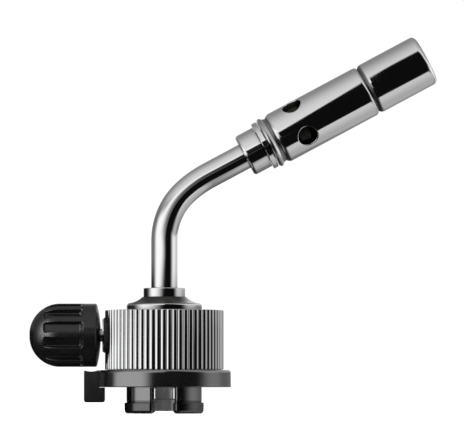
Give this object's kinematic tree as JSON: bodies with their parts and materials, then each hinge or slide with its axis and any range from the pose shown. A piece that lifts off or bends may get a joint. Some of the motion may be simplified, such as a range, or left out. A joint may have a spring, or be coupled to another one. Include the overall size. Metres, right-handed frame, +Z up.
{
  "type": "gas torch head",
  "caption": "Compact gas torch head with a bent lance, burner tube, control knob and a claw lock that clicks onto a gas cartridge.",
  "frame": {"origin": "centre of the gas inlet's lower end, on the round body's axis", "axes": "+Z up along the round body's axis, +X towards the burner, -X towards the control knob"},
  "size_m": [0.1547, 0.0506, 0.1428],
  "materials": {
    "chrome_plate": "polished chrome plate",
    "brass": "turned brass",
    "steel": "machined steel",
    "heat_steel": "heat-stained steel",
    "black_metal": "semi-gloss blackened metal",
    "black_gloss_plastic": "moulded, glossy",
    "black_matte_plastic": "moulded, satin",
    "black_rubber": "matt",
    "white_ptfe": "smooth"
  },
  "bodies": {
    "torch_body": {"inlet_spigot": "chrome_plate", "valve_pin": "steel", "inlet_filter": "brass", "inlet_seal": "black_rubber", "guide_plate": "black_metal", "plate_screws": "steel", "thrust_washer": "white_ptfe", "retaining_ring": "steel", "valve_body": "brass", "body_shell": "chrome_plate", "dome_cap": "chrome_plate", "lance_nut": "chrome_plate", "lance_olive": "brass", "valve_seat": "white_ptfe", "spindle_housing": "brass", "spindle_seals": "black_rubber", "gland_nut": "chrome_plate", "boss_gasket": "black_rubber", "lance_tube": "chrome_plate", "jet_holder": "chrome_plate", "lock_nut": "chrome_plate", "burner_collar": "chrome_plate", "jet": "brass", "jet_filter": "brass", "mixing_tube": "brass", "burner_barrel": "chrome_plate", "nozzle_sleeve": "chrome_plate", "flame_holder": "heat_steel"},
    "needle": {"valve_needle": "steel"},
    "knob_assembly": {"valve_spindle": "steel", "knob": "black_gloss_plastic", "knob_screw": "steel", "knob_cap": "black_gloss_plastic"},
    "lock_ring": {"lock_ring": "black_metal", "lever_grip": "black_matte_plastic", "lever_pin": "steel"},
    "claw_1": {"jaw_1": "black_metal"},
    "claw_2": {"jaw_2": "black_metal"},
    "claw_3": {"jaw_3": "black_metal"},
    "claw_4": {"jaw_4": "black_metal"}
  },
  "joints": [
    {"name": "lock_ring_turn", "type": "hinge", "parent": "torch_body", "child": "lock_ring", "pos_m": [0, 0, 0.0143], "axis": [0, 0, 1], "range_deg": [0, 60]},
    {"name": "needle_travel", "type": "slide", "parent": "torch_body", "child": "needle", "axis": [-1, 0, 0], "range_m": [0, 0.0013]},
    {"name": "knob_turn", "type": "hinge", "parent": "needle", "child": "knob_assembly", "pos_m": [0, 0, 0.0288], "axis": [-1, 0, 0], "range_deg": [0, 450]},
    {"name": "claw_1_slide", "type": "slide", "parent": "torch_body", "child": "claw_1", "axis": [0.7071, 0.7071, 0], "range_m": [0, 0.00151]},
    {"name": "claw_2_slide", "type": "slide", "parent": "torch_body", "child": "claw_2", "axis": [-0.7071, 0.7071, 0], "range_m": [0, 0.00151]},
    {"name": "claw_3_slide", "type": "slide", "parent": "torch_body", "child": "claw_3", "axis": [-0.7071, -0.7071, 0], "range_m": [0, 0.00151]},
    {"name": "claw_4_slide", "type": "slide", "parent": "torch_body", "child": "claw_4", "axis": [0.7071, -0.7071, 0], "range_m": [0, 0.00151]}
  ],
  "couplings": [
    {"joint": "needle_travel", "follows": "knob_turn", "m_per_rad": 0.00015915},
    {"joint": "claw_1_slide", "follows": "lock_ring_turn", "m_per_rad": 0.0014324},
    {"joint": "claw_2_slide", "follows": "lock_ring_turn", "m_per_rad": 0.0014324},
    {"joint": "claw_3_slide", "follows": "lock_ring_turn", "m_per_rad": 0.0014324},
    {"joint": "claw_4_slide", "follows": "lock_ring_turn", "m_per_rad": 0.0014324}
  ]
}
